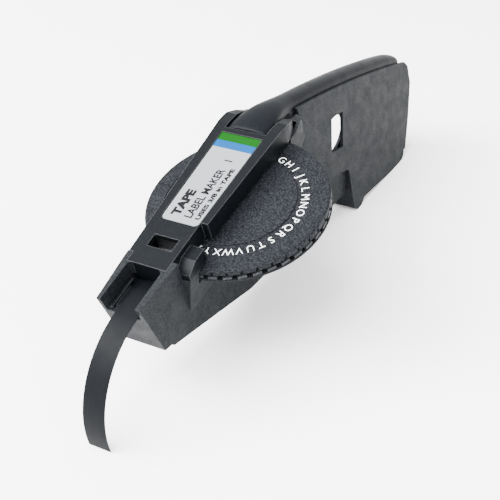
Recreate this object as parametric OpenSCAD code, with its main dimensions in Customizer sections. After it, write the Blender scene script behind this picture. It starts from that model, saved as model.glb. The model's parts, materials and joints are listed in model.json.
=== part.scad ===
// Hand embossing label maker: a letter wheel carried between a narrow case and a bridge,
// a squeeze lever let into the top of the handle, and a tape magazine inside the handle.
// Everything is drawn in the wheel's frame: X runs along the deck towards the handle, Y = 0 is
// the middle of the case, Z = 0 is the wheel's letter face. in_rest_pose() then stands it down.

/* [Letter wheel] */
// Outer radius of the letter wheel
wheel_r = 36; // [35:0.5:37]
// Number of characters round the wheel
characters = 40; // [36:2:44]
// Radius of the middle of the letter ring
letter_r = 26.3; // [25:0.1:28]
// Distance of the wheel's axis from the middle of the case
wheel_offset = 9.3; // [9:0.1:10]
// Radius of the steel post that the wheel turns on
post_r = 1.5; // [1.4:0.1:1.6]
// Thickness of the letter disc under its face
letter_disc_t = 2.3; // [2:0.1:2.4]
// Gap between the two discs, where the tape runs
tape_gap = 1.0; // [0.8:0.1:1.1]
// Thickness of the die disc
die_disc_t = 2.4; // [2.2:0.1:2.6]

/* [Deck and nose] */
// Height of the deck above the letter face
deck_z = 9.5; // [9:0.1:10]
// Half width of the nose at its front
nose_half_w = 9.1; // [9:0.1:9.6]
// Half width of the bridge over the wheel at the wheel's axis
bridge_half_w = 12.4; // [12:0.1:12.8]
// How much the half width grows for each millimetre towards the handle
bridge_flare = 0.05; // [0.04:0.01:0.06]
// Distance from the wheel's axis to the front of the nose
nose_x = 66; // [65:0.5:67]
// Height of the floor of the tape channel
channel_z = 2.6; // [2.4:0.1:2.8]

/* [Case and handle] */
// Half width of the handle along its rim
handle_half_w = 6.8; // [6.8:0.1:7.2]
// Lean of the handle's sides, which spread towards the bottom
handle_lean = 6; // [5.5:0.5:6.5]
// Half width of the case where it carries the wheel
case_half_w = 14.2; // [14:0.1:14.5]
// Half width of the lower body
lower_half_w = 9; // [8.9:0.1:9.1]
// Thickness of the moulded walls
wall = 1.4; // [1.2:0.1:1.5]
// Angle between the front of the bottom edge and the deck
base_angle = 25.2; // [25:0.1:25.4]
// Angle between the deck and the surface that the label maker rests on
rest_angle = 15.8; // [15.7:0.1:15.9]

/* [Lever] */
// Half width of the lever where it lies in the handle
lever_half_w = 5.2; // [5:0.1:5.3]
// Height of the lever above the handle's rim
lever_rise = 4.4; // [4:0.1:5]
// Radius of the lever's pivot pin
pin_r = 1.5; // [1.4:0.1:1.6]

/* [Tape] */
// Width of the embossing tape
tape_w = 9.5; // [9.5:0.1:9.5]
// Thickness of the embossing tape
tape_t = 0.3; // [0.3:0.05:0.4]
// Radius of the curve in the tape that has come out of the nose
tape_curl_r = 34.5; // [34:0.5:35]
// Outer radius of the roll of tape in the handle
roll_r = 18; // [15:1:18]

/* [Hidden] */
$fn = 72;
eps = 0.01;
clear = 0.3;

// Heights of the wheel's layers
face_rise = 0.6;
letter_disc_low = -letter_disc_t;
die_disc_top = letter_disc_low - tape_gap;
die_disc_low = die_disc_top - die_disc_t;
wheel_low = die_disc_low;
// The slot in the case that the wheel turns in
slot_r = wheel_r + 0.9;
slot_floor = wheel_low - 1.2;

// Where the lever turns, and how far its pin reaches to each side
pivot_x = 47;
pivot_z = -15;
pin_end = 9.2;
// The lower end of the wheel's post
post_low = -10;
// Screws that hold the case's halves together: X, Z and the Y of the surface at the head
screw_places = [[-59, -8, 9.5], [20, -48, 9], [66, -33, 9.2], [98, -79.5, 12]];
screw_tip = -5;

// The bottom edge of the body: steep under the nose, then level in the rest pose
keel_x = -56.2;
keel_z = -21.2;
keel_end_x = 78;
bend_x = -5;
keel_half_w = 6;
keel_h = 2;
function base_z(x) = x < bend_x
    ? keel_z - tan(base_angle) * (x - keel_x)
    : keel_z - tan(base_angle) * (bend_x - keel_x) - tan(rest_angle) * (x - bend_x);

// The resting surface, through the bottom of the foot
foot_x = 82;
foot_z = -81;
foot_len = 4;
function rest_z(x) = foot_z - tan(rest_angle) * (x - foot_x);

// The place of the footprint's middle, measured along the resting surface from the foot
rest_middle = -61.1;

// The rim of the handle, a shallow arc from the deck's rear end to the butt
rim_r = 860;
rim_a0 = 23.7;
rim_a1 = 31.4;
rim_start = [54, 0.2];
function rim_pt(a) = rim_start + rim_r * [sin(a) - sin(rim_a0), cos(a) - cos(rim_a0)];
function rim_line(a0, a1, n) = [for (i = [0:n]) rim_pt(a0 + (a1 - a0) * i / n)];
// The same arc raised above the rim by h
function rim_up(a, h) = rim_pt(a) + h * [sin(a), cos(a)];

// Middle of the roll of tape
roll_x = 127;
roll_z = -69;

// Places the wheel's axis
module at_wheel() {
    translate([0, -wheel_offset, 0]) children();
}

// Extrudes a side view, drawn in X and Z, across the case from y0 to y1
module side(y0, y1) {
    translate([0, y1, 0]) rotate([90, 0, 0]) linear_extrude(y1 - y0) children();
}

// A round piece across the case, from y0 to y1
module cross_pin(x, z, r, y0, y1) {
    translate([x, y1, z]) rotate([90, 0, 0]) cylinder(h = y1 - y0, r = r);
}

// Stands the label maker down on its handle, with its footprint's middle at the origin
module in_rest_pose() {
    translate([-rest_middle, wheel_offset, 0]) rotate([0, -rest_angle, 0])
        translate([-foot_x, 0, -foot_z]) children();
}

// ---- Case ----

// Side view of the nose block
module nose_outline() {
    polygon([
        [-nose_x, deck_z], [-nose_x + 4.6, -17.9], [-57.4, -19.3], [keel_x, base_z(keel_x)],
        [-39.5, base_z(-39.5)], [-39.5, deck_z]]);
}

// Plan of the nose block, wider towards the wheel
module nose_plan() {
    polygon([
        [-nose_x - 5, nose_half_w - 0.3], [-45, 10.6], [-39.5, 10.8],
        [-39.5, -10.8], [-45, -10.6], [-nose_x - 5, -nose_half_w + 0.3]]);
}

// Side view of the lower body, grown or shrunk by inset
module lower_outline(inset = 0) {
    polygon([
        [-41 + inset, 0 - inset], [-41 + inset, base_z(-41) + inset], [bend_x, base_z(bend_x) + inset],
        [keel_end_x - inset, base_z(keel_end_x) + inset], [84 - inset, -50], [52, 0 - inset]]);
}

// Cross-section of the part that carries the wheel: it narrows down into the lower body
module cradle_section(inset = 0) {
    w = case_half_w - inset;
    v = lower_half_w - inset;
    polygon([[-w, 1.2], [-v, -19], [v, -19], [w, 1.2]]);
}

// The part of the case that carries the wheel, with a rounded rear end
module cradle(inset = 0) {
    intersection() {
        rotate([90, 0, 90]) translate([0, 0, -43 + inset]) linear_extrude(100) cradle_section(inset);
        side(-20, 20) polygon([[-50, 2], [-50, -30], [42, -30], [48.6 - inset, -16.5],
            [54 - inset, -4], [50 - inset, -0.6], [48 - inset, 1.2], [47 - inset, 2]]);
        translate([0, 0, -30]) linear_extrude(60) cradle_plan(inset);
    }
}

// Plan of that part: straight sides, and a quarter of an ellipse round each rear corner
module cradle_plan(inset = 0) {
    w = case_half_w - inset;
    polygon(concat(
        [[-43 + inset, -w]],
        [for (a = [0:15:90]) [38 + (17 - inset) * sin(a), -6 - (w - 6) * cos(a)]],
        [for (a = [90:-15:0]) [38 + (17 - inset) * sin(a), 6 + (w - 6) * cos(a)]],
        [[-43 + inset, w]]));
}

// Side view of the handle
module handle_outline() {
    polygon(concat(
        [[44, -35], [44, 1.2], [rim_start[0] - 3, 1.2]],
        rim_line(rim_a0, rim_a1, 12),
        [[158.6, -57.2], [157.6, -66.5], [148, -80.4], [137.5, -93]],
        [for (a = [0:20:60]) [131.5, rest_z(131.5) + 5] + 5 * [cos(-20 - a), sin(-20 - a)]],
        [[130, rest_z(130)], [118, rest_z(118)], [92, -81.4], [88.5, -80.3],
         [foot_x + foot_len / 2, rest_z(foot_x + foot_len / 2)],
         [foot_x - foot_len / 2, rest_z(foot_x - foot_len / 2)],
         [77.6, -77], [81.6, -57.4], [79.5, -55.4], [65.4, -47.2]]));
}

// Cross-section of the handle, square to its length, with its sides leaning outwards
module handle_prism(inset = 0) {
    w = handle_half_w - inset;
    translate([rim_start[0], 0, rim_start[1]]) rotate([0, 27.5, 0]) rotate([90, 0, 90])
        translate([0, 0, -40]) linear_extrude(200) polygon([
            [-w, 6], [-w, 0], [-w - 80 * tan(handle_lean), -80],
            [w + 80 * tan(handle_lean), -80], [w, 0], [w, 6]]);
}

// Side view of the space for the tape, the lever and the works inside the handle
module handle_hollow() {
    polygon([
        [42, 30], [175, 30], [175, -60], [152, -92], [139, -97], [136.4, -92.75], [131.4, -92.75],
        [130.6, -91], [117.5, -88.8], [91.6, -79.2], [81, -78.6], [84.5, -56], [66, -45.2], [42, -33]]);
}

// Both halves of the case as one
module case_whole() {
    difference() {
        union() {
            difference() {
                union() {
                    intersection() {
                        side(-12, 12) nose_outline();
                        translate([0, 0, -60]) linear_extrude(120) nose_plan();
                        rotate([90, 0, 90]) translate([0, 0, -80]) linear_extrude(100)
                            polygon([[-10.8, 9.6], [-9.1, -22], [-9, -30], [9, -30], [9.1, -22], [10.8, 9.6]]);
                    }
                    cradle();
                    side(-lower_half_w, lower_half_w) lower_outline();
                    intersection() {
                        side(-20, 20) handle_outline();
                        handle_prism();
                    }
                }
                body_hollow();
            }
            // bosses for the wheel's post, the lever's pin and the case screws
            intersection() {
                at_wheel() translate([0, 0, -11]) cylinder(h = 11 + slot_floor, r = 3);
                cradle();
            }
            for (s = [-1, 1]) cross_pin(pivot_x, pivot_z, 3.4, s > 0 ? 7.4 : -8.4, s > 0 ? 8.4 : -7.4);
            for (p = screw_places) cross_pin(p[0], p[1], 2.6, 1.3 - p[2], p[2] - 1.3);
            // web across the body, under the tape's way to the wheel
            side(-7.7, 7.7) polygon([[55, -41.9], [68, -47.6], [68, -49], [55, -43.4]]);
        }
        wheel_slot();
        nose_channel();
        works_opening();
        deck_seat();
        magazine_openings();
        keel_seat();
        cross_pin(pivot_x, pivot_z, pin_r, -pin_end, pin_end);
        at_wheel() translate([0, 0, post_low]) cylinder(h = 30, r = post_r);
        for (p = screw_places) {
            cross_pin(p[0], p[1], 1.1, screw_tip, 20);
            cross_pin(p[0], p[1], 2.1, p[2] - 1.2, 20);
        }
    }
}

// Everything hollow inside the case: lower body, cradle and handle
module body_hollow() {
    difference() {
        union() {
            side(-lower_half_w + wall, lower_half_w - wall) lower_outline(wall);
            cradle(wall);
        }
        translate([-60, -20, slot_floor - wall]) cube([98.5, 40, 20]);
    }
    intersection() {
        side(-20, 20) handle_hollow();
        handle_prism(wall);
    }
    // neck, where the lever's legs come down on both sides of the tape
    translate([41, -8.2, -30]) cube([15, 16.4, 60]);
}

// The slot that the letter wheel turns in, and the slit behind it
module wheel_slot() {
    at_wheel() translate([0, 0, slot_floor]) cylinder(h = 30, r = slot_r);
    // the tape's way in from the handle
    translate([30, -5.4, -4.2]) cube([12, 10.8, 2.8]);
}

// Open channel in the nose that the tape comes out through, round at its inner corners
module nose_channel() {
    corner = 1.8;
    translate([0, 0, channel_z]) linear_extrude(20) union() {
        translate([-nose_x - 10, -7.2]) square([nose_x + 10 - 47 - corner, 14.8]);
        translate([-nose_x - 10, -7.2 + corner]) square([nose_x + 10 - 47, 14.8 - 2 * corner]);
        for (y = [-7.2 + corner, 7.6 - corner]) translate([-47 - corner, y]) circle(r = corner);
    }
}

// Way through from the hammer and the knife up to the tape
module works_opening() {
    side(-7.2, 7.6) polygon([
        [-56, -13], [-41, -22], [-29, -22], [-29, 1.3], [-46, 1.3], [-46, channel_z + 1], [-56, channel_z + 1]]);
}

// Seat for the front of the bridge
module deck_seat() {
    translate([-47, -8.45, 1.2]) cube([20, 16.9, 20]);
    translate([-42.45, -20, 1.2]) cube([20, 40, 20]);
}

// Window on the right of the magazine, and the round thumb hole on its left
module magazine_openings() {
    side(-20, -3) polygon([[79.3, -24.5], [89.2, -29.4], [82, -43.6], [72, -38.6]]);
    cross_pin(104.3, -60.5, 10.3, 3, 20);
}

// Room for the strip along the bottom of the body
module keel_seat() {
    side(-keel_half_w, keel_half_w) keel_outline();
}

// Side view of the strip
module keel_outline() {
    polygon([
        [keel_x - 0.8, base_z(keel_x - 0.8) - 0.6], [keel_x - 0.8, base_z(keel_x - 0.8) + keel_h],
        [bend_x, base_z(bend_x) + keel_h], [keel_end_x - 2, base_z(keel_end_x - 2) + keel_h],
        [keel_end_x - 2, base_z(keel_end_x - 2) - 0.6], [bend_x, base_z(bend_x) - 0.6]]);
}

module half_space(sign) {
    translate([-200, sign > 0 ? 0 : -100, -200]) cube([500, 100, 400]);
}

module case_right() {
    color("#26282a") in_rest_pose() intersection() {
        case_whole();
        half_space(-1);
    }
}

module case_left() {
    color("#2a2c2e") in_rest_pose() intersection() {
        case_whole();
        half_space(1);
    }
}

module keel() {
    color("#222425") in_rest_pose() side(-keel_half_w, keel_half_w) keel_outline();
}

// ---- Deck ----

// Half width of the bridge at a distance x from the wheel's axis
function half_w(x) = bridge_half_w + bridge_flare * x;

// Plan of the bridge, with a quarter of an ellipse round each rear corner
module bridge_plan() {
    w = half_w(34);
    polygon(concat(
        [[-22, -half_w(-22)]],
        [for (a = [0:15:90]) [34 + 13.5 * sin(a), -6 - (w - 6) * cos(a)]],
        [for (a = [90:-15:0]) [34 + 13.5 * sin(a), 6 + (w - 6) * cos(a)]],
        [[-22, half_w(-22)]]));
}

// Plan of the bridge's front end, stepped in on the wheel's open side
module bridge_front_plan() {
    polygon([
        [-46.95, -8.4], [-20, -8.4], [-20, half_w(-20)], [-42.4, half_w(-42.4)],
        [-42.4, 8.4], [-46.95, 8.4]]);
}

// The bridge over the wheel, with the label's recess between its rails
module deck_cover() {
    color("#2b2d2f") in_rest_pose() difference() {
        union() {
            difference() {
                union() {
                    translate([0, 0, 1.25]) linear_extrude(deck_z - 1.25) bridge_plan();
                    translate([0, 0, 1.25]) linear_extrude(deck_z - 1.25) bridge_front_plan();
                    // shelf on the open side, sloping down at its front
                    side(-case_half_w, 0) polygon([
                        [-42.4, 1.25], [-42.4, 4], [-37, 6.65], [-30.8, 6.65], [-30.8, 1.25]]);
                }
                // hollow underside
                translate([-20, 0, -1]) linear_extrude(deck_z - 0.6)
                    polygon([[0, 9.2], [60, 9.2], [60, -9.2], [0, -9.2]]);
                translate([-45, -6.9, -1]) cube([30, 13.8, 8.6]);
            }
            at_wheel() translate([0, 0, 1.6]) cylinder(h = 6.4, r = 3);
        }
        // recess for the label plate
        translate([0, 0, deck_z - 0.9]) linear_extrude(5) label_plan(0.3);
        // window over the embossing place
        translate([-38.2, -5.3, 0]) cube([5.9, 10.6, 20]);
        // opening that the lever comes up through
        translate([27.6, -9.2, 0]) cube([40, 18.4, 20]);
        // the flange slopes down towards the handle
        side(-20, 20) polygon([
            [30, deck_z + 0.02], [60, deck_z + 0.02], [60, -4], [50, -1], [45.5, 3.2],
            [41.4, 6.2], [36.5, 8.6]]);
        at_wheel() translate([0, 0, -1]) cylinder(h = 8.1, r = post_r + 0.02);
    }
}

// Outline of the label plate, round at its front corners
module label_plan(grow = 0) {
    polygon(concat(
        [[24.6 + grow, 8.9 + grow], [24.6 + grow, -8.9 - grow]],
        [for (a = [0:15:90]) [-22.4, -6.1] + (1.8 + grow) * [-sin(a), -cos(a)]],
        [for (a = [90:-15:0]) [-22.4, 6.1] + (1.8 + grow) * [-sin(a), cos(a)]]));
}

module label_plate() {
    color("#d9dcdd") in_rest_pose() translate([0, 0, deck_z - 0.9]) linear_extrude(0.7) label_plan();
}

// A coloured stripe across the label plate
module stripe(x0, x1) {
    translate([0, 0, deck_z - 0.2]) linear_extrude(0.1) intersection() {
        label_plan();
        translate([x0, -20]) square([x1 - x0, 40]);
    }
}

module label_stripe_green() {
    color("#35a535") in_rest_pose() stripe(20.4, 24.6);
}

module label_stripe_blue() {
    color("#1f8fcf") in_rest_pose() stripe(16.6, 20.4);
}

// Ramp and rib that guide the tape up into the nose channel
module tape_guide() {
    color("#303234") in_rest_pose() union() {
        side(-7, 7.4) polygon([
            [-62, channel_z], [-62, channel_z + 0.4], [-54, channel_z + 0.4], [-50, 1.6],
            [-39.4, -2.9], [-39.4, -4.4], [-50, 0.2], [-54, channel_z]]);
        translate([-64, 5.2, channel_z]) cube([14, 0.9, 1.5]);
    }
}

// Steel anvil under the bridge, over the character that is being pressed
module anvil() {
    color("silver") in_rest_pose() side(-6.8, 6.8) polygon([
        [-35.2, 0.95], [-35.2, 1.2], [-31.2, 1.2], [-31.2, 7.6], [-29, 7.6], [-29, 0.95]]);
}

// ---- Wheel ----

module wheel_post() {
    color("silver") in_rest_pose() at_wheel() {
        translate([0, 0, post_low]) cylinder(h = 7 - post_low, r = post_r);
    }
}

// Spring clip on the post, under the bridge
module post_clip() {
    color("silver") in_rest_pose() at_wheel() difference() {
        translate([0, 0, face_rise + 0.2]) cylinder(h = 0.35, r = 2.8);
        translate([0, 0, 0]) cylinder(h = 5, r = post_r);
        translate([0, -0.9, 0]) cube([5, 1.8, 5]);
    }
}

// Notched disc that carries the characters
module letter_disc() {
    color("#2f3133") in_rest_pose() at_wheel() difference() {
        union() {
            translate([0, 0, letter_disc_low]) cylinder(h = letter_disc_t, r = wheel_r, $fn = 160);
            translate([0, 0, -eps]) cylinder(h = face_rise + eps, r = letter_r - 3.0, $fn = 120);
            difference() {
                translate([0, 0, -eps]) cylinder(h = 0.35 + eps, r = wheel_r - 0.5, $fn = 160);
                translate([0, 0, -1]) cylinder(h = 3, r = letter_r + 3.0, $fn = 120);
            }
        }
        translate([0, 0, -9]) cylinder(h = 20, r = 2);
        for (i = [0:characters - 1]) rotate([0, 0, (i + 0.5) * 360 / characters])
            translate([wheel_r - 0.9, -0.5, letter_disc_low - 1]) cube([3, 1, letter_disc_t + 0.5]);
    }
}

// Lower disc with one springy die finger for each character
module die_disc() {
    color("#8d9092") in_rest_pose() at_wheel() difference() {
        union() {
            translate([0, 0, die_disc_low]) cylinder(h = 0.9, r = wheel_r, $fn = 160);
            translate([0, 0, die_disc_low]) cylinder(h = die_disc_t, r = wheel_r - 1.0, $fn = 160);
        }
        translate([0, 0, die_disc_low + 0.9]) cylinder(h = 5, r = wheel_r - 7);
        translate([0, 0, -9]) cylinder(h = 20, r = 2);
        for (i = [0:characters - 1]) rotate([0, 0, (i + 0.5) * 360 / characters])
            translate([wheel_r - 8, -1.1, die_disc_low + 0.95]) cube([9, 2.2, 5]);
    }
}

module wheel_hub() {
    color("#b5893c") in_rest_pose() at_wheel() difference() {
        translate([0, 0, die_disc_low - 0.5]) cylinder(h = face_rise - die_disc_low + 0.5, r = 2);
        translate([0, 0, -20]) cylinder(h = 40, r = post_r + 0.05);
    }
}

// Leaf that clicks from one character to the next under the die disc
module detent_spring() {
    color("silver") in_rest_pose() side(-7, -3) polygon([
        [14, slot_floor], [14, slot_floor + 0.3], [19, slot_floor + 0.3], [26, die_disc_low - 0.45],
        [27.5, die_disc_low - 0.3], [29, die_disc_low - 0.45], [29, die_disc_low - 0.75],
        [26, die_disc_low - 0.8], [19, slot_floor]]);
}

// ---- Lever ----

// Plan of the lever: wide behind the label, narrow in the handle
module lever_plan(inset = 0) {
    w = lever_half_w - inset;
    polygon([
        [27.9, -8.8 + inset], [35, -8.6 + inset], [46, -7 + inset], [54.5, -w], [200, -w],
        [200, w], [54.5, w], [46, 7 - inset], [35, 8.6 - inset], [27.9, 8.8 - inset]]);
}

// Side view of the lever's top, rise above the handle's rim and depth below it
module lever_outline(rise, depth) {
    polygon(concat(
        [[27.9, deck_z - 2.6], [27.9, deck_z + rise - 3.4], [36, deck_z + rise - 3.6], [46, 5 + rise * 0.85]],
        [for (i = [1:20]) rim_up(rim_a0 + (rim_a1 - rim_a0) * i / 20 * 0.985, rise)],
        [for (i = [20:-1:2]) rim_up(rim_a0 + (rim_a1 - rim_a0) * i / 20 * 0.982, -depth)],
        [[50, 0], [44, 2.5], [38, deck_z - 4.6]]));
}

// One step of the lever's rounded top
module lever_step(rise, inset) {
    intersection() {
        side(-10, 10) lever_outline(rise, 5);
        translate([0, 0, -80]) linear_extrude(120) lever_plan(inset);
    }
}

// Smooth top of the lever, hollow underneath, with two legs down to the pivot
module lever_shell() {
    color("#1d1f21") in_rest_pose() difference() {
        union() {
            lever_step(lever_rise - 2.2, 0);
            lever_step(lever_rise - 0.9, 0.8);
            lever_step(lever_rise, 2.2);
            for (s = [-1, 1]) side(s > 0 ? 5.3 : -6.8, s > 0 ? 6.8 : -5.3)
                polygon([[43, 3], [43, -21.8], [51, -21.8], [51.5, 0]]);
        }
        intersection() {
            side(-10, 10) lever_hollow();
            translate([0, 0, -80]) linear_extrude(120) lever_plan(1.3);
        }
        // the tape passes between the legs
        translate([40, -5.3, -30]) cube([14, 10.6, 30]);
        cross_pin(pivot_x, pivot_z, pin_r + 0.05, -20, 20);
        lever_rivet_holes();
    }
}

module lever_hollow() {
    polygon(concat(
        [[29.4, 0], [29.4, deck_z - 1.4], [36, deck_z - 1.8], [46, 5.2]],
        [for (i = [1:20]) rim_up(rim_a0 + (rim_a1 - rim_a0) * i / 20 * 0.972, 0.8)],
        [for (i = [20:-1:2]) rim_up(rim_a0 + (rim_a1 - rim_a0) * i / 20 * 0.972, -8)],
        [[52, -8], [38, -8]]));
}

// Holes through the legs and the yoke
module lever_rivet_holes() {
    cross_pin(pivot_x + 1.5, pivot_z - 5, 0.9, -20, 20);
}

// Steel arm from the pivot, forward under the wheel to the hammer, with a yoke between the legs
module lever_arm() {
    color("silver") in_rest_pose() difference() {
        union() {
            side(-1, 1) polygon([
                [51, -13], [44, -11.4], [36, -13], [-34, -13.2], [-34.4, -14.2],
                [-34.4, -15.6], [-30, -16.4], [34, -17.6], [43, -21.6], [51, -21.6]]);
            side(-5.2, 5.2) polygon([[45.6, -17.4], [45.6, -21.6], [51, -21.6], [51, -17.4]]);
        }
        cross_pin(pivot_x, pivot_z, pin_r + 0.05, -20, 20);
        lever_rivet_holes();
    }
}

module lever_rivets() {
    color("silver") in_rest_pose() cross_pin(pivot_x + 1.5, pivot_z - 5, 0.9, -7, 7);
}

module lever_pin() {
    color("silver") in_rest_pose() cross_pin(pivot_x, pivot_z, pin_r, -pin_end, pin_end);
}

// Leaf spring that lifts the lever by pressing its arm down
module lever_spring() {
    color("silver") in_rest_pose() side(-2, 2) polygon([
        [30, -8.35], [30, -8.7], [24.2, -8.7], [12.2, -12.95], [9.5, -12.6],
        [9.6, -12.25], [12, -12.55], [24, -8.35]]);
}

// ---- Hammer, knife and feed ----

// Block that slides up and down in the case, astride the arm's tip
module hammer_block() {
    color("#8c8f92") in_rest_pose() difference() {
        translate([-38, -6.9, -15.6]) cube([8, 14.2, 5.4]);
        translate([-40, -1.3, -17]) cube([20, 2.6, 4.1]);
    }
}

module hammer_punch() {
    color("silver") in_rest_pose() translate([-33.6, -2.4, -10.2]) cylinder(h = 0.7, r = 1.5);
}

module cutter_blade() {
    color("silver") in_rest_pose() translate([-38.35, -6, -15])
        cube([0.35, 11, 8.1]);
}

module feed_slide() {
    color("#8c8f92") in_rest_pose() translate([38.8, 1.5, -9.4]) cube([5.6, 2.2, 2]);
}

module feed_claw() {
    color("silver") in_rest_pose() side(1.5, 3.7) polygon([
        [38.8, -7.4], [40.4, -7.4], [39.6, -4.3], [38.8, -4.2]]);
}

// ---- Tape ----

tape_y = -2.4;
tape_mid_z = letter_disc_low - tape_gap / 2;
curl_c = [-66, 4.8 - tape_curl_r];
// Route of the tape from the roll to the discs
feed_path = [[roll_x - 11, roll_z + roll_r - 2.6], [108, -41.5], [100, -34.6], [90, -28.2], [80, -22.6],
             [66, -16], [58, -11.4], [50, -6.2], [45, -3.9], [41, tape_mid_z], [37, tape_mid_z]];
// Route from the discs up into the nose and round the curl
nose_path = concat(
    [[-33, tape_mid_z], [-38.6, tape_mid_z], [-41, -1.9], [-50, 2.2], [-54, 3.4], [-60, 4.3]],
    [for (a = [0:4:88]) curl_c + tape_curl_r * [-sin(a), cos(a)]],
    [[curl_c[0] - tape_curl_r, rest_z(curl_c[0] - tape_curl_r) + 0.12]]);

// A thin ribbon along the points of a path
module ribbon(path) {
    n = len(path) - 1;
    function dir(i) = let (a = path[max(i - 1, 0)], b = path[min(i + 1, n)]) (b - a) / norm(b - a);
    function off(i, s) = path[i] + s * tape_t / 2 * [-dir(i)[1], dir(i)[0]];
    polygon(concat([for (i = [0:n]) off(i, 1)], [for (i = [n:-1:0]) off(i, -1)]));
}

// Post across the magazine that the spool turns on
module spool_post() {
    color("#2a2c2e") in_rest_pose() intersection() {
        cross_pin(roll_x, roll_z, 3, -20, 20);
        handle_prism(wall);
    }
}

module tape_spool() {
    color("#c9c9c4") in_rest_pose() difference() {
        cross_pin(roll_x, roll_z, 7, -tape_w / 2, tape_w / 2);
        cross_pin(roll_x, roll_z, 3.08, -10, 10);
    }
}

module tape_roll() {
    color("#151617") in_rest_pose() difference() {
        cross_pin(roll_x, roll_z, roll_r, -tape_w / 2, tape_w / 2);
        cross_pin(roll_x, roll_z, 7, -10, 10);
    }
}

// Tape from the roll, between the discs, through the nose and down to the resting surface
module tape_strip() {
    color("#101112") in_rest_pose() union() {
        side(-tape_w / 2, tape_w / 2) ribbon(feed_path);
        translate([0, 0, tape_mid_z - tape_t / 2]) linear_extrude(tape_t)
            polygon([
                [40, tape_w / 2], [40, -tape_w / 2], [-30, tape_y - tape_w / 2],
                [-34, tape_y - tape_w / 2], [-34, tape_y + tape_w / 2], [-30, tape_y + tape_w / 2]]);
        side(tape_y - tape_w / 2, tape_y + tape_w / 2) ribbon(nose_path);
    }
}

// ---- Magazine door and fasteners ----

door_hinge = [134, -90.2];

// Door in the butt of the handle, hinged at its lower end
module magazine_door() {
    color("#232527") in_rest_pose() difference() {
        intersection() {
            union() {
                side(-20, 20) polygon([
                    [155.4, -58], [158, -58.4], [156.9, -66.3], [147.3, -80.1], [138.5, -90.6],
                    [138.3, -89.2], [134, -88.4], [133, -89], [145.6, -78.6], [154.6, -65.8]]);
                cross_pin(door_hinge[0], door_hinge[1], 2.1, -20, 20);
            }
            handle_prism(wall + 0.25);
        }
        cross_pin(door_hinge[0], door_hinge[1], 1.05, -20, 20);
    }
}

module door_hinge_pin() {
    color("silver") in_rest_pose() intersection() {
        cross_pin(door_hinge[0], door_hinge[1], 1.0, -20, 20);
        handle_prism(wall);
    }
}

// Screws put in from the left side
module case_screws() {
    color("silver") in_rest_pose() for (p = screw_places) {
        cross_pin(p[0], p[1], 1.1, screw_tip, p[2] - 0.3);
        cross_pin(p[0], p[1], 2, p[2] - 1.2, p[2] - 0.1);
    }
}

case_right();
case_left();
keel();
deck_cover();
tape_guide();
anvil();
label_plate();
label_stripe_green();
label_stripe_blue();
wheel_post();
post_clip();
letter_disc();
die_disc();
wheel_hub();
detent_spring();
lever_shell();
lever_arm();
lever_rivets();
lever_pin();
lever_spring();
hammer_block();
hammer_punch();
cutter_blade();
feed_slide();
feed_claw();
spool_post();
tape_spool();
tape_roll();
tape_strip();
magazine_door();
door_hinge_pin();
case_screws();
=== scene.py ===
# %% [markdown]
# # Hand embossing label maker
# A letter wheel turns between a narrow case and the bridge above it, a lever lies along the top
# of a wedge-shaped handle, and a curl of tape hangs out of the nose. This lesson dresses the
# exact CAD parts: it rounds edges, makes the smooth and the repeated pieces, and gives every
# piece a material made of nodes.
# %% The frame
import bpy
import bmesh
import json
import math
from mathutils import Matrix, Vector

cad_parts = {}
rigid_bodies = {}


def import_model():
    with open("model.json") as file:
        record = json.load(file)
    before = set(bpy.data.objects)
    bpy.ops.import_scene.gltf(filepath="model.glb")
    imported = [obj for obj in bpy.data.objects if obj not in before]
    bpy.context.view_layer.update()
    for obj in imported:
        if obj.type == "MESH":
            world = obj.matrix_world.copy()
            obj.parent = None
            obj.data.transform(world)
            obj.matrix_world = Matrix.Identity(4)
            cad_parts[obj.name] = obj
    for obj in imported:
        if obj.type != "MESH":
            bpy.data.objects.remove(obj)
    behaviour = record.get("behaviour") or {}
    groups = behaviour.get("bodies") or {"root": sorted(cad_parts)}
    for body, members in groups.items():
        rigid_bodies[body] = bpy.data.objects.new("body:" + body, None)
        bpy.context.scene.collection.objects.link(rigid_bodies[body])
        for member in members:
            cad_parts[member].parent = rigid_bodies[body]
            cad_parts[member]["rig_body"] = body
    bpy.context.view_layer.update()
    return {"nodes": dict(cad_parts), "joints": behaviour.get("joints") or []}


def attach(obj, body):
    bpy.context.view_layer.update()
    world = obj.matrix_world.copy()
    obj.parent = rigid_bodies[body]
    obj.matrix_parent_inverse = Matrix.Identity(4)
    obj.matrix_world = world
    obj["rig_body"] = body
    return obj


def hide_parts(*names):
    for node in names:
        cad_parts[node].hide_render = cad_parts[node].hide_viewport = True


bpy.ops.wm.read_factory_settings(use_empty=True)
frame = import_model()
NODES = frame["nodes"]
MM = 0.001

# %% [markdown]
# ## The deck's own frame
# The machine lies tilted, with its deck sloping down towards the nose. It is much easier to
# think in the deck's frame: X along the deck, Y across the case, Z up from the wheel's face.
# The wheel's joint says where that frame is, so nothing is measured twice.
# %% Deck frame
JOINTS = {j["name"]: j for j in frame["joints"]}
wheel_axis = Vector(JOINTS["wheel_spin"]["axis"])
wheel_centre = Vector(JOINTS["wheel_spin"]["pos_m"])
CASE_Y = Vector(JOINTS["lever_squeeze"]["pos_m"]).y
deck_x = Vector((wheel_axis.z, 0.0, -wheel_axis.x))
DECK = Matrix((deck_x, Vector((0, 1, 0)), wheel_axis)).transposed().to_4x4()
DECK.translation = Vector((wheel_centre.x, CASE_Y, wheel_centre.z))
WHEEL = DECK.copy()
WHEEL.translation = wheel_centre
print("deck slopes by", round(math.degrees(math.atan2(-wheel_axis.x, wheel_axis.z)), 2), "degrees")


def deck_point(x, y, z):
    """A point given in millimetres along, across and above the deck."""
    return DECK @ Vector((x * MM, y * MM, z * MM))


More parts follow.
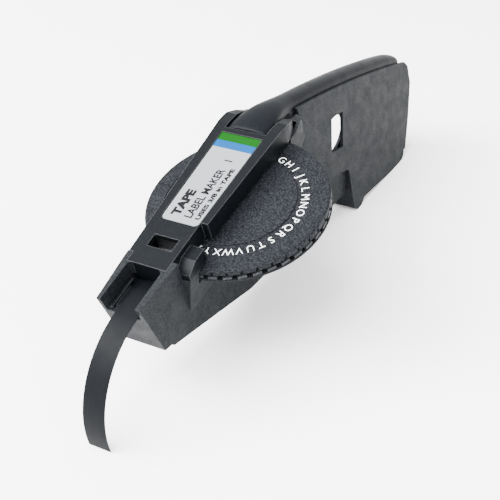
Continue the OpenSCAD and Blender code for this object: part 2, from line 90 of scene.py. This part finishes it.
# %% [markdown]
# ## Small helpers for node trees
# Every material below is a handful of nodes on Object coordinates. In metres a grain of two
# thirds of a millimetre needs a noise scale of about fifteen hundred.
# %% Material helpers
def new_material(name):
    mat = bpy.data.materials.new(name)
    mat.use_nodes = True
    tree = mat.node_tree
    shader = tree.nodes["Principled BSDF"]
    place = tree.nodes.new("ShaderNodeTexCoord")
    return mat, tree, shader, place.outputs["Object"]


def noise(tree, where, scale, detail=3.0, rough=0.55):
    node = tree.nodes.new("ShaderNodeTexNoise")
    node.inputs["Scale"].default_value = scale
    node.inputs["Detail"].default_value = detail
    node.inputs["Roughness"].default_value = rough
    tree.links.new(where, node.inputs["Vector"])
    return node.outputs["Fac"]


def ramp(tree, value, low, high, from_color, to_color):
    node = tree.nodes.new("ShaderNodeValToRGB")
    node.color_ramp.elements[0].position = low
    node.color_ramp.elements[1].position = high
    node.color_ramp.elements[0].color = (*from_color, 1)
    node.color_ramp.elements[1].color = (*to_color, 1)
    tree.links.new(value, node.inputs["Fac"])
    return node.outputs["Color"]


def mixed(tree, share, a, b, mode="MIX"):
    node = tree.nodes.new("ShaderNodeMix")
    node.data_type = "RGBA"
    node.blend_type = mode
    for value, socket in ((share, "Factor"), (a, "A"), (b, "B")):
        target = [s for s in node.inputs if s.name == socket and s.enabled][0]
        if isinstance(value, bpy.types.NodeSocket):
            tree.links.new(value, target)
        elif socket == "Factor":
            target.default_value = value
        else:
            target.default_value = (*value, 1)
    return [s for s in node.outputs if s.enabled][0]


def bumped(tree, shader, height, strength, distance, under=None):
    node = tree.nodes.new("ShaderNodeBump")
    node.inputs["Strength"].default_value = strength
    node.inputs["Distance"].default_value = distance
    tree.links.new(height, node.inputs["Height"])
    if under:
        tree.links.new(under, node.inputs["Normal"])
    tree.links.new(node.outputs["Normal"], shader.inputs["Normal"])


def soft_edges(tree, radius_mm):
    """A normal that turns over radius_mm at every edge, and a mask that is 1 on those edges."""
    soft = tree.nodes.new("ShaderNodeBevel")
    soft.samples = 6
    soft.inputs["Radius"].default_value = radius_mm * MM
    flat = tree.nodes.new("ShaderNodeNewGeometry")
    agree = tree.nodes.new("ShaderNodeVectorMath")
    agree.operation = "DOT_PRODUCT"
    tree.links.new(soft.outputs["Normal"], agree.inputs[0])
    tree.links.new(flat.outputs["Normal"], agree.inputs[1])
    mask = ramp(tree, agree.outputs["Value"], 0.82, 0.985, (1, 1, 1), (0, 0, 0))
    return soft.outputs["Normal"], mask


# %% [markdown]
# ## Black moulded plastic
# The case is moulded in black styrene with a fine spark-eroded grain. Under a soft light the
# grain shows as pale specks. A Bevel node turns the normal at every edge, and where it does so
# the colour is painted a little lighter: a painted highlight along every edge. One function
# makes the family, because the case, the bridge, the wheel and the lever differ only in grain,
# gloss and the strength of that painted edge highlight.
# %% Moulded plastic
MATT = 1.14


def moulded_plastic(name, dark, light, grain=1500.0, roughness=(0.5, 0.66), bump=0.35,
                    edge=0.5, radius=0.22, edge_highlight=0.03):
    mat, tree, shader, where = new_material(name)
    speck = ramp(tree, noise(tree, where, grain, 2.0, 0.7), 0.42, 0.66, dark, light)
    cloud = ramp(tree, noise(tree, where, 45.0, 3.0), 0.3, 0.75, (0.93,) * 3, (1.04,) * 3)
    color = mixed(tree, 1.0, speck, cloud, "MULTIPLY")
    turned_normal, edges = soft_edges(tree, radius)
    # Painted highlight: where the Bevel node turns the normal, the colour is mixed towards a lighter
    # tone.
    edge_highlight_share = mixed(tree, 1.0, edges, (edge, edge, edge), "MULTIPLY")
    color = mixed(tree, edge_highlight_share, color, tuple(edge_highlight + c for c in light))
    tree.links.new(color, shader.inputs["Base Color"])
    patches = noise(tree, where, 160.0, 4.0)
    rough = ramp(tree, patches, 0.3, 0.7, (roughness[0],) * 3, (roughness[1],) * 3)
    tree.links.new(rough, shader.inputs["Roughness"])
    shader.inputs["IOR"].default_value = MATT
    bumped(tree, shader, noise(tree, where, grain * 0.8, 2.0, 0.6), bump, 0.00012, turned_normal)
    return mat


CASE_PLASTIC = moulded_plastic("case_black_grain", (0.0038, 0.0045, 0.0053), (0.0125, 0.014, 0.016))
# The deck gets the strongest painted edge highlight, as light lines along its rails.
DECK_PLASTIC = moulded_plastic("deck_black_grain", (0.0014, 0.0019, 0.0026), (0.0034, 0.0042, 0.0052),
                               grain=1700.0, roughness=(0.38, 0.52), bump=0.2, edge=0.9,
                               radius=0.3, edge_highlight=0.075)
WHEEL_PLASTIC = moulded_plastic("wheel_black_speckle", (0.0016, 0.002, 0.0027), (0.0145, 0.016, 0.019),
                                grain=1500.0, bump=0.5)
KEEL_PLASTIC = moulded_plastic("keel_black_grain", (0.004, 0.0045, 0.005), (0.011, 0.012, 0.0135))
LEVER_PLASTIC = moulded_plastic("lever_satin_black", (0.0013, 0.0018, 0.0027), (0.0028, 0.0036, 0.005),
                                grain=1500.0, roughness=(0.4, 0.5), bump=0.06, edge=0.35)
FINGER_PLASTIC = moulded_plastic("die_finger_grey", (0.01, 0.011, 0.0125), (0.035, 0.037, 0.041),
                                 grain=2200.0, roughness=(0.35, 0.5), bump=0.15)
print("moulded plastics:", 6)


# %% [markdown]
# ## Metals, label foil and tape
# The hidden works are turned, pressed and ground steel with a brass bush. The label is a thin
# printed foil: a satin silver-white with a very fine brushing. The tape is hard vinyl with a
# satin face and faint drawing lines.
# %% Metals
def metal(name, dark, light, roughness, lines=(900.0, 900.0, 900.0), bump=0.08):
    mat, tree, shader, where = new_material(name)
    stretch = tree.nodes.new("ShaderNodeMapping")
    stretch.inputs["Scale"].default_value = lines
    tree.links.new(where, stretch.inputs["Vector"])
    streak = noise(tree, stretch.outputs["Vector"], 1.0, 4.0)
    tree.links.new(ramp(tree, streak, 0.3, 0.7, dark, light), shader.inputs["Base Color"])
    patches = noise(tree, where, 220.0, 3.0)
    rough = ramp(tree, patches, 0.3, 0.7, (roughness,) * 3, (roughness + 0.16,) * 3)
    tree.links.new(rough, shader.inputs["Roughness"])
    shader.inputs["Metallic"].default_value = 1.0
    bumped(tree, shader, streak, bump, 0.00005)
    return mat


STEEL = metal("turned_steel", (0.45, 0.45, 0.47), (0.68, 0.68, 0.7), 0.24, (400.0, 5000.0, 400.0))
ZINC = metal("zinc_plated_steel", (0.42, 0.43, 0.42), (0.62, 0.62, 0.58), 0.34, (500.0, 500.0, 500.0))
SPRING = metal("blued_spring_strip", (0.2, 0.21, 0.24), (0.4, 0.4, 0.42), 0.28, (300.0, 3500.0, 300.0))
BLADE = metal("ground_blade", (0.62, 0.62, 0.64), (0.8, 0.8, 0.82), 0.16, (6000.0, 300.0, 300.0))
BRASS = metal("brass_bush", (0.55, 0.39, 0.14), (0.78, 0.6, 0.28), 0.26, (500.0, 500.0, 4000.0))
SINTERED = metal("sintered_iron", (0.06, 0.062, 0.066), (0.12, 0.122, 0.128), 0.5,
                 (1800.0, 1800.0, 1800.0), 0.3)


# %% Label foil, print, stripes, letters
def smooth_finish(name, low, high, roughness, scale=(700.0, 9000.0, 700.0), bump=0.05):
    mat, tree, shader, where = new_material(name)
    stretch = tree.nodes.new("ShaderNodeMapping")
    stretch.inputs["Scale"].default_value = scale
    tree.links.new(where, stretch.inputs["Vector"])
    fine = noise(tree, stretch.outputs["Vector"], 1.0, 3.0)
    tree.links.new(ramp(tree, fine, 0.25, 0.75, low, high), shader.inputs["Base Color"])
    patches = noise(tree, where, 120.0, 3.0)
    rough = ramp(tree, patches, 0.3, 0.7, (roughness,) * 3, (roughness + 0.12,) * 3)
    tree.links.new(rough, shader.inputs["Roughness"])
    shader.inputs["IOR"].default_value = MATT
    bumped(tree, shader, fine, bump, 0.00004)
    return mat


FOIL = smooth_finish("label_foil", (0.13, 0.138, 0.147), (0.185, 0.194, 0.204), 0.3)
INK = smooth_finish("label_ink", (0.002, 0.002, 0.0025), (0.005, 0.005, 0.006), 0.5)
GREEN = smooth_finish("stripe_green", (0.0002, 0.034, 0.001), (0.0004, 0.044, 0.0015), 0.4)
BLUE = smooth_finish("stripe_blue", (0.0, 0.036, 0.12), (0.0001, 0.046, 0.15), 0.4)
LETTER_WHITE = smooth_finish("letter_paint_white", (0.6, 0.61, 0.62), (0.74, 0.75, 0.76), 0.38,
                             (2500.0, 2500.0, 2500.0))
TAPE = smooth_finish("tape_vinyl_black", (0.001, 0.0013, 0.0019), (0.0022, 0.0027, 0.0036), 0.5,
                     (260.0, 5200.0, 260.0), 0.12)
SPOOL = smooth_finish("spool_ivory", (0.52, 0.51, 0.46), (0.66, 0.65, 0.6), 0.4, (900.0, 900.0, 900.0))
print("materials so far:", len(bpy.data.materials))


# %% [markdown]
# ## Rounded edges on the CAD parts
# A moulded part has no sharp edge: each one has a radius of a few tenths of a millimetre, and
# that thin line is what catches the light. The CAD mesh is loose triangles, so a copy is
# merged and its flat faces are joined, and then a Bevel modifier rounds every edge over
# 30 degrees. The result is a plain mesh that stands for the CAD node. The case halves and the
# bridge keep their CAD mesh, and only the Bevel node in their plastic softens their edges: on
# the case's many thin walls the modifier raises spikes.
# %% Edge rounding
def finish_mesh(obj, weighted=True):
    """Applies obj's modifiers and returns it as a plain mesh. Weighted normals keep the large
    faces flat in shading, so that only the rounded edges turn."""
    obj.data.shade_smooth()
    if weighted:
        normals = obj.modifiers.new("flat_faces", "WEIGHTED_NORMAL")
        normals.weight = 90
        normals.keep_sharp = True
    depsgraph = bpy.context.evaluated_depsgraph_get()
    mesh = bpy.data.meshes.new_from_object(obj.evaluated_get(depsgraph))
    obj.modifiers.clear()
    obj.data = mesh
    return obj


def link(name, mesh):
    obj = bpy.data.objects.new(name, mesh)
    bpy.context.scene.collection.objects.link(obj)
    return obj


def rounded_copy(node, name, width_mm, material, segments=2):
    source = NODES[node]
    work = bmesh.new()
    work.from_mesh(source.data)
    bmesh.ops.remove_doubles(work, verts=work.verts, dist=2e-6)
    bmesh.ops.dissolve_limit(work, angle_limit=math.radians(0.5), verts=work.verts, edges=work.edges)
    mesh = bpy.data.meshes.new(name)
    work.to_mesh(mesh)
    work.free()
    mesh.materials.clear()
    mesh.materials.append(material)
    for polygon in mesh.polygons:
        polygon.material_index = 0
    obj = link(name, mesh)
    bevel = obj.modifiers.new("edge_radius", "BEVEL")
    bevel.width = width_mm * MM
    bevel.segments = segments
    bevel.limit_method = "ANGLE"
    bevel.angle_limit = math.radians(30)
    bevel.use_clamp_overlap = False
    bevel.miter_outer = "MITER_ARC"
    finish_mesh(obj)
    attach(obj, source["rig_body"])
    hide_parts(node)
    print(name, len(obj.data.polygons), "faces")
    return obj


# %% Keel, door and nose ramp
rounded_copy("keel", "keel_strip", 0.3, KEEL_PLASTIC)
rounded_copy("magazine_door", "butt_door", 0.3, CASE_PLASTIC)
rounded_copy("tape_guide", "tape_ramp", 0.1, DECK_PLASTIC)

# %% [markdown]
# ## Pieces that keep their CAD shape
# The case halves, the bridge, pins, springs, the arm and the other works have the right shape
# already. Only their material is set.
# %% Kept shapes
KEPT = {
    STEEL: ["wheel_post", "post_clip", "lever_rivets", "lever_pin", "hammer_punch",
            "door_hinge_pin"],
    ZINC: ["lever_arm", "feed_slide"],
    SPRING: ["detent_spring", "lever_spring", "feed_claw"],
    BLADE: ["cutter_blade"],
    BRASS: ["wheel_hub"],
    SINTERED: ["hammer_block", "anvil"],
    CASE_PLASTIC: ["case_right", "case_left", "spool_post"],
    DECK_PLASTIC: ["deck_cover"],
    SPOOL: ["tape_spool"],
}
for material, names in KEPT.items():
    for name in names:
        NODES[name].data.materials.clear()
        NODES[name].data.materials.append(material)
print("CAD shapes kept:", sum(len(n) for n in KEPT.values()))

# %% [markdown]
# ## The letter wheel's upper disc
# The upper disc has a raised middle, a ring for the characters and a rim cut into forty tabs,
# one for each character. The CAD disc has all of that, so it gets rounded edges.
# %% Upper disc
rounded_copy("letter_disc", "letter_wheel_disc", 0.16, WHEEL_PLASTIC)


# %% [markdown]
# ## Characters
# The characters are hot-stamped in white: forty of them, nine degrees apart, with their tops
# outwards, reading clockwise from above. A text curve is made into a mesh first, and only then
# moved to its place, so that its material's coordinates stay true.
# %% Text as a mesh
def text_mesh(body, height_mm, thick_mm=0.0, bold=0.0, width=1.0, resolution=3):
    curve = bpy.data.curves.new("text_" + str(len(bpy.data.curves)), "FONT")
    curve.body = body
    curve.align_x = "LEFT"
    curve.size = height_mm / 0.7 * MM
    curve.extrude = thick_mm * MM / 2
    curve.offset = bold * MM
    curve.resolution_u = resolution
    holder = bpy.data.objects.new("text_holder", curve)
    bpy.context.scene.collection.objects.link(holder)
    bpy.context.view_layer.update()
    mesh = bpy.data.meshes.new_from_object(holder.evaluated_get(bpy.context.evaluated_depsgraph_get()))
    bpy.data.objects.remove(holder)
    xs = [v.co.x for v in mesh.vertices]
    ys = [v.co.y for v in mesh.vertices]
    return mesh, (min(xs), max(xs), min(ys), max(ys))


def joined(name, meshes, material, body):
    work = bmesh.new()
    for mesh in meshes:
        work.from_mesh(mesh)
    mesh = bpy.data.meshes.new(name)
    work.to_mesh(mesh)
    work.free()
    mesh.materials.clear()
    mesh.materials.append(material)
    for polygon in mesh.polygons:
        polygon.material_index = 0
    obj = link(name, mesh)
    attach(obj, body)
    return obj


# %% Forty characters
CHARACTERS = "ABCDEFGHIJKLMNOPQRSTUVWXYZ23456789&-.,$/"
FIRST_ANGLE = 40.0
STEP_ANGLE = 360.0 / len(CHARACTERS)
RING_RADIUS = 26.45
LETTER_HEIGHT = 3.15
stamped = []
for index, character in enumerate(CHARACTERS):
    mesh, (left, right, low, high) = text_mesh(character, LETTER_HEIGHT, 0.06, bold=-0.03)
    angle = math.radians(FIRST_ANGLE - STEP_ANGLE * index)
    centre = Matrix.Translation((-(left + right) / 2, -LETTER_HEIGHT / 2 * MM, 0))
    turn = Matrix.Rotation(angle - math.pi / 2, 4, "Z")
    out = Matrix.Translation((0, RING_RADIUS * MM, 0.05 * MM))
    mesh.transform(WHEEL @ turn @ out @ centre)
    stamped.append(mesh)
joined("wheel_characters", stamped, LETTER_WHITE, "letter_wheel")
print("characters:", len(stamped))

# %% [markdown]
# ## Die fingers
# Under the upper disc lies the die disc: a ring of forty springy fingers that press the tape
# from below. One finger is a small chamfered block. Geometry Nodes set it round a circle: the
# circle's points carry the instances, each turned to face outwards, and the tree ends by
# making the instances real and giving them their material.
# %% Geometry Nodes helpers
def geometry_tree(name, inputs):
    tree = bpy.data.node_groups.new(name, "GeometryNodeTree")
    sockets = {}
    for label, kind, default in inputs:
        item = tree.interface.new_socket(label, in_out="INPUT", socket_type=kind)
        if default is not None:
            item.default_value = default
        sockets[label] = item.identifier
    tree.interface.new_socket("Geometry", in_out="OUTPUT", socket_type="NodeSocketGeometry")
    start = tree.nodes.new("NodeGroupInput")
    end = tree.nodes.new("NodeGroupOutput")
    return tree, start, end, sockets


def ring_of(name, count, radius_mm, size_mm, low_mm, material, start_degrees, lean_degrees=0.0):
    """A ring of chamfered blocks about the wheel's axis, made with Geometry Nodes."""
    tree, start, end, ids = geometry_tree(name + "_tree", [
        ("Count", "NodeSocketInt", count), ("Radius", "NodeSocketFloat", radius_mm * MM),
        ("Size", "NodeSocketVector", tuple(s * MM for s in size_mm)),
        ("Lean", "NodeSocketFloat", math.radians(lean_degrees)),
        ("Material", "NodeSocketMaterial", None)])
    nodes, links = tree.nodes, tree.links
    circle = nodes.new("GeometryNodeMeshCircle")
    links.new(start.outputs["Count"], circle.inputs["Vertices"])
    links.new(start.outputs["Radius"], circle.inputs["Radius"])
    block = nodes.new("GeometryNodeMeshCube")
    links.new(start.outputs["Size"], block.inputs["Size"])
    position = nodes.new("GeometryNodeInputPosition")
    facing = nodes.new("FunctionNodeAlignRotationToVector")
    facing.axis = "X"
    facing.pivot_axis = "Z"
    links.new(position.outputs["Position"], facing.inputs["Vector"])
    lean = nodes.new("ShaderNodeCombineXYZ")
    links.new(start.outputs["Lean"], lean.inputs["X"])
    turn = nodes.new("FunctionNodeRotateRotation")
    turn.rotation_space = "LOCAL"
    lean_rotation = nodes.new("FunctionNodeEulerToRotation")
    links.new(lean.outputs["Vector"], lean_rotation.inputs["Euler"])
    links.new(facing.outputs["Rotation"], turn.inputs["Rotation"])
    links.new(lean_rotation.outputs["Rotation"], turn.inputs["Rotate By"])
    scatter = nodes.new("GeometryNodeInstanceOnPoints")
    links.new(circle.outputs["Mesh"], scatter.inputs["Points"])
    links.new(block.outputs["Mesh"], scatter.inputs["Instance"])
    links.new(turn.outputs["Rotation"], scatter.inputs["Rotation"])
    real = nodes.new("GeometryNodeRealizeInstances")
    links.new(scatter.outputs["Instances"], real.inputs["Geometry"])
    paint = nodes.new("GeometryNodeSetMaterial")
    links.new(real.outputs["Geometry"], paint.inputs["Geometry"])
    links.new(start.outputs["Material"], paint.inputs["Material"])
    links.new(paint.outputs["Geometry"], end.inputs["Geometry"])
    obj = link(name, bpy.data.meshes.new(name))
    modifier = obj.modifiers.new("ring", "NODES")
    modifier.node_group = tree
    modifier[ids["Count"]] = count
    modifier[ids["Radius"]] = radius_mm * MM
    modifier[ids["Size"]] = tuple(s * MM for s in size_mm)
    modifier[ids["Lean"]] = math.radians(lean_degrees)
    modifier[ids["Material"]] = material
    chamfer = obj.modifiers.new("chamfer", "BEVEL")
    chamfer.width = 0.14 * MM
    chamfer.segments = 2
    finish_mesh(obj)
    spin = Matrix.Rotation(math.radians(start_degrees), 4, "Z")
    obj.data.transform(WHEEL @ Matrix.Translation((0, 0, low_mm * MM)) @ spin)
    print(name, len(obj.data.polygons), "faces")
    return obj


# %% Die disc
DIE_TOP = -3.3
fingers = ring_of("die_fingers", 40, 33.9, (3.7, 3.5, 1.3), DIE_TOP - 0.72, FINGER_PLASTIC, 4.0, 6.0)
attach(fingers, "letter_wheel")


def turned(name, profile_mm, material, steps=160):
    """A closed round piece about the wheel's axis from a profile of (radius, height) points."""
    work = bmesh.new()
    rings = []
    for index in range(steps):
        a = 2 * math.pi * index / steps
        across, along = MM * math.cos(a), MM * math.sin(a)
        rings.append([work.verts.new((r * across, r * along, z * MM)) for r, z in profile_mm])
    count = len(profile_mm)
    for index in range(steps):
        here, there = rings[index], rings[(index + 1) % steps]
        for k in range(count):
            work.faces.new((here[k], there[k], there[(k + 1) % count], here[(k + 1) % count]))
    bmesh.ops.recalc_face_normals(work, faces=work.faces)
    mesh = bpy.data.meshes.new(name)
    work.to_mesh(mesh)
    work.free()
    mesh.materials.append(material)
    mesh.transform(WHEEL)
    mesh.shade_smooth()
    mesh.set_sharp_from_angle(angle=math.radians(35))
    return link(name, mesh)


DIE_PROFILE = [
    (2.1, -5.7), (35.75, -5.7), (36, -5.5), (36, -5.0), (35.8, -4.8), (32.0, -4.8), (31.6, -4.6),
    (31.6, -3.5), (31.4, -3.3), (28.6, -3.3), (28.4, -3.5), (28.4, -4.8), (2.1, -4.8)]
die_plate = turned("die_plate", DIE_PROFILE, KEEL_PLASTIC)
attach(die_plate, "letter_wheel")
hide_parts("die_disc")


# %% [markdown]
# ## The lever
# The lever is one smooth moulding: a wide ramp behind the label that narrows into a rounded
# back along the handle and drops into a round tail. It is swept in code: a half-oval section is
# set at stations along the handle's rim, its width, height and fall changing from station to
# station, and a Subdivision Surface modifier smooths the skin.
# %% Lever skin
RIM_RADIUS = 860.0
RIM_START = (54.0, 0.2)
RIM_FROM, RIM_TO = 23.7, 31.4
BACK_STATIONS = 12
SKIN_THICK = 1.2


def rim(angle, rise=0.0):
    a, a0 = math.radians(angle), math.radians(RIM_FROM)
    x = RIM_START[0] + RIM_RADIUS * (math.sin(a) - math.sin(a0)) + rise * math.sin(a)
    z = RIM_START[1] + RIM_RADIUS * (math.cos(a) - math.cos(a0)) + rise * math.cos(a)
    return x, z


def lever_stations():
    """(x, z of the base line, slope in degrees, half width, rise, depth) from front to tail."""
    stations = [
        (28.05, 8.3, 0.0, 8.7, 0.9, 1.6), (28.3, 8.3, 0.0, 8.75, 1.6, 1.8),
        (30.5, 8.2, 0.0, 8.75, 2.1, 2.0), (35.0, 7.7, 4.0, 8.6, 2.6, 2.6),
        (40.0, 6.5, 10.0, 8.0, 3.2, 3.2), (45.0, 4.6, 17.0, 7.0, 4.1, 3.8),
        (50.0, 2.2, 22.0, 5.9, 4.4, 4.4)]
    for k in range(BACK_STATIONS + 1):
        share = k / BACK_STATIONS
        angle = RIM_FROM + 0.15 + (RIM_TO - RIM_FROM - 0.45) * share
        x, z = rim(angle)
        rise = (4.35 - 0.3 * share) if k < BACK_STATIONS else 3.3
        stations.append((x, z, angle, 5.1, rise, 4.8))
    x, z = rim(RIM_TO - 0.22)
    stations.append((x, z, RIM_TO, 4.6, 2.3, 4.0))
    x, z = rim(RIM_TO - 0.16)
    stations.append((x, z, RIM_TO, 3.4, 0.6, 2.6))
    return stations


def lever_ring(x, z, slope, half, rise, depth):
    """One closed section: flat sides that run down into the handle, and a half-oval back."""
    points = [(-half, -depth), (-half, -0.5 * depth), (-half, 0.0)]
    for step in range(1, 8):
        a = math.pi * step / 8
        points.append((-half * math.cos(a), rise * math.sin(a) ** 0.8))
    points += [(half, 0.0), (half, -0.5 * depth), (half, -depth)]
    inner = half - SKIN_THICK
    roof = max(rise - SKIN_THICK - 0.4, 0.1) * 0.8
    points += [(inner, -depth), (inner, -0.4 * depth), (0.0, roof),
               (-inner, -0.4 * depth), (-inner, -depth)]
    s = math.radians(slope)
    return [(x + up * math.sin(s), across, z + up * math.cos(s)) for across, up in points]


work = bmesh.new()
rings = []
for station in lever_stations():
    rings.append([work.verts.new(deck_point(*p)) for p in lever_ring(*station)])
for here, there in zip(rings, rings[1:]):
    count = len(here)
    for k in range(count):
        work.faces.new((here[k], here[(k + 1) % count], there[(k + 1) % count], there[k]))
work.faces.new(list(reversed(rings[0])))
work.faces.new(rings[-1])
bmesh.ops.recalc_face_normals(work, faces=work.faces)
lever_mesh = bpy.data.meshes.new("lever_skin")
work.to_mesh(lever_mesh)
work.free()
lever_mesh.materials.append(LEVER_PLASTIC)
lever = link("squeeze_lever", lever_mesh)
smooth = lever.modifiers.new("smooth", "SUBSURF")
smooth.levels = smooth.render_levels = 2
finish_mesh(lever, weighted=False)
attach(lever, "lever")
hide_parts("lever_shell")
print("lever:", len(lever.data.polygons), "faces")

# %% Lever legs
def plate(name, outline_mm, y0, y1, material):
    """A flat plate with the outline given along and above the deck, from y0 to y1 across it."""
    work = bmesh.new()
    near = [work.verts.new(deck_point(x, y0, z)) for x, z in outline_mm]
    far = [work.verts.new(deck_point(x, y1, z)) for x, z in outline_mm]
    work.faces.new(near)
    work.faces.new(list(reversed(far)))
    count = len(near)
    for k in range(count):
        work.faces.new((near[k], far[k], far[(k + 1) % count], near[(k + 1) % count]))
    bmesh.ops.recalc_face_normals(work, faces=work.faces)
    mesh = bpy.data.meshes.new(name)
    work.to_mesh(mesh)
    work.free()
    mesh.materials.append(material)
    obj = link(name, mesh)
    bevel = obj.modifiers.new("edge_radius", "BEVEL")
    bevel.width = 0.2 * MM
    bevel.segments = 2
    return finish_mesh(obj)


for side, sign in (("right", -1), ("left", 1)):
    leg = plate("lever_leg_" + side, [(43, 3), (43, -21.8), (51, -21.8), (51.5, 0)],
                min(sign * 5.35, sign * 6.75), max(sign * 5.35, sign * 6.75), LEVER_PLASTIC)
    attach(leg, "lever")

# %% [markdown]
# ## Label
# The label is a foil plate let into the bridge, with two printed stripes at its rear and dark
# print. The wording is generic: it says what the machine is and which tape it takes.
# %% Label plate, stripes and print
rounded_copy("label_plate", "label_foil_plate", 0.08, FOIL)
rounded_copy("label_stripe_green", "label_stripe_rear", 0.02, GREEN)
rounded_copy("label_stripe_blue", "label_stripe_front", 0.02, BLUE)
DECK_TOP = 9.5
LABEL_SUNK = 0.2
PRINT_LIFT = 0.02
PRINT_THICK = 0.03
LABEL_TOP = DECK_TOP - LABEL_SUNK + PRINT_LIFT


def label_line(name, words, left, right, baseline, height, bold):
    mesh, (x0, x1, y0, y1) = text_mesh(words, height, PRINT_THICK, bold)
    fit = (right - left) * MM / (x1 - x0)
    mesh.transform(Matrix.Diagonal((fit, 1, 1, 1)) @ Matrix.Translation((-x0, 0, 0)))
    mesh.transform(DECK @ Matrix.Translation((left * MM, baseline * MM, LABEL_TOP * MM)))
    return joined(name, [mesh], INK, "case")


label_line("label_line_1", "TAPE", -21.4, -7.6, 1.9, 3.4, 0.3)
label_line("label_line_2", "LABEL MAKER", -21.0, 5.6, -3.4, 3.2, 0.13)
label_line("label_line_3", "USES 3/8 in TAPE", -21.0, 7.0, -6.8, 1.7, 0.13)
label_line("label_line_2_end", "1", 10.2, 10.8, -3.4, 3.2, 0.2)

# %% [markdown]
# ## Tape
# The strip comes out of the nose in one even curve, 9.5 mm wide and 0.3 mm thick. The roll is
# the same tape wound up: its ends show the windings as fine rings.
# %% Tape
rounded_copy("tape_strip", "tape_curl", 0.05, TAPE, segments=1)


def wound_finish():
    mat, tree, shader, where = new_material("tape_windings")
    centre = tree.nodes.new("ShaderNodeMapping")
    roll = Vector(JOINTS["spool_spin"]["pos_m"])
    centre.inputs["Location"].default_value = -roll
    tree.links.new(where, centre.inputs["Vector"])
    flat = tree.nodes.new("ShaderNodeMapping")
    flat.inputs["Scale"].default_value = (1, 0.02, 1)
    tree.links.new(centre.outputs["Vector"], flat.inputs["Vector"])
    rings = tree.nodes.new("ShaderNodeTexWave")
    rings.wave_type = "RINGS"
    rings.rings_direction = "SPHERICAL"
    rings.inputs["Scale"].default_value = 500.0
    rings.inputs["Distortion"].default_value = 0.6
    tree.links.new(flat.outputs["Vector"], rings.inputs["Vector"])
    color = ramp(tree, rings.outputs["Fac"], 0.2, 0.8, (0.012, 0.012, 0.014), (0.045, 0.046, 0.05))
    tree.links.new(color, shader.inputs["Base Color"])
    shader.inputs["Roughness"].default_value = 0.34
    bumped(tree, shader, rings.outputs["Fac"], 0.3, 0.0001)
    return mat


rounded_copy("tape_roll", "tape_roll_wound", 0.12, wound_finish())

# %% [markdown]
# ## Screws
# Four zinc-plated screws hold the case's halves together from the left. Their pan heads get a
# rounded rim.
# %% Screws
rounded_copy("case_screws", "case_screw_set", 0.12, ZINC)

# %% [markdown]
# ## Floor, light and camera
# A pale matte floor and a bright surround give the soft light of a catalogue picture: one
# large soft box above and behind the left shoulder, one overhead and a weaker one in front.
# %% Floor
floor_mat, floor_tree, floor_shader, floor_place = new_material("floor_pale")
floor_tint = ramp(floor_tree, noise(floor_tree, floor_place, 6.0, 2.0), 0.3, 0.7,
                  (0.86, 0.86, 0.865), (0.89, 0.89, 0.895))
floor_tree.links.new(floor_tint, floor_shader.inputs["Base Color"])
floor_shader.inputs["Roughness"].default_value = 0.85
bumped(floor_tree, floor_shader, noise(floor_tree, floor_place, 300.0, 2.0), 0.03, 0.0002)
work = bmesh.new()
bmesh.ops.create_grid(work, x_segments=8, y_segments=8, size=3.0)
floor_mesh = bpy.data.meshes.new("floor")
work.to_mesh(floor_mesh)
work.free()
floor_mesh.materials.append(floor_mat)
floor = link("floor", floor_mesh)


# %% Light
def soft_box(name, where, towards, size, power):
    light = bpy.data.lights.new(name, "AREA")
    light.shape = "RECTANGLE"
    light.size, light.size_y = size
    light.energy = power
    obj = link(name, light)
    obj.location = where
    obj.rotation_euler = (Vector(where) - Vector(towards)).to_track_quat("Z", "Y").to_euler()
    return obj


soft_box("key_box", (-0.5, 0.85, 0.95), (0, 0, 0.04), (0.9, 0.7), 80)
soft_box("fill_box", (-0.7, -0.9, 0.7), (0, 0, 0.04), (1.0, 0.8), 15)
soft_box("top_box", (-0.6, 0.1, 1.1), (0, 0, 0.04), (0.8, 0.8), 50)
world = bpy.data.worlds.new("studio")
bpy.context.scene.world = world
world.use_nodes = True
world.node_tree.nodes["Background"].inputs["Color"].default_value = (1, 1, 1, 1)
world.node_tree.nodes["Background"].inputs["Strength"].default_value = 3.0

# %% Camera
camera = bpy.data.cameras.new("camera")
camera.lens = 79.2
camera.sensor_width = 36
camera.clip_start, camera.clip_end = 0.01, 20
camera_object = link("camera", camera)
camera_object.location = (-0.34473, -0.19525, 0.26493)
camera_object.rotation_euler = [math.radians(d) for d in (57.33, 2.86, -59.81)]
bpy.context.scene.camera = camera_object
print("camera at", [round(v, 3) for v in camera_object.location])
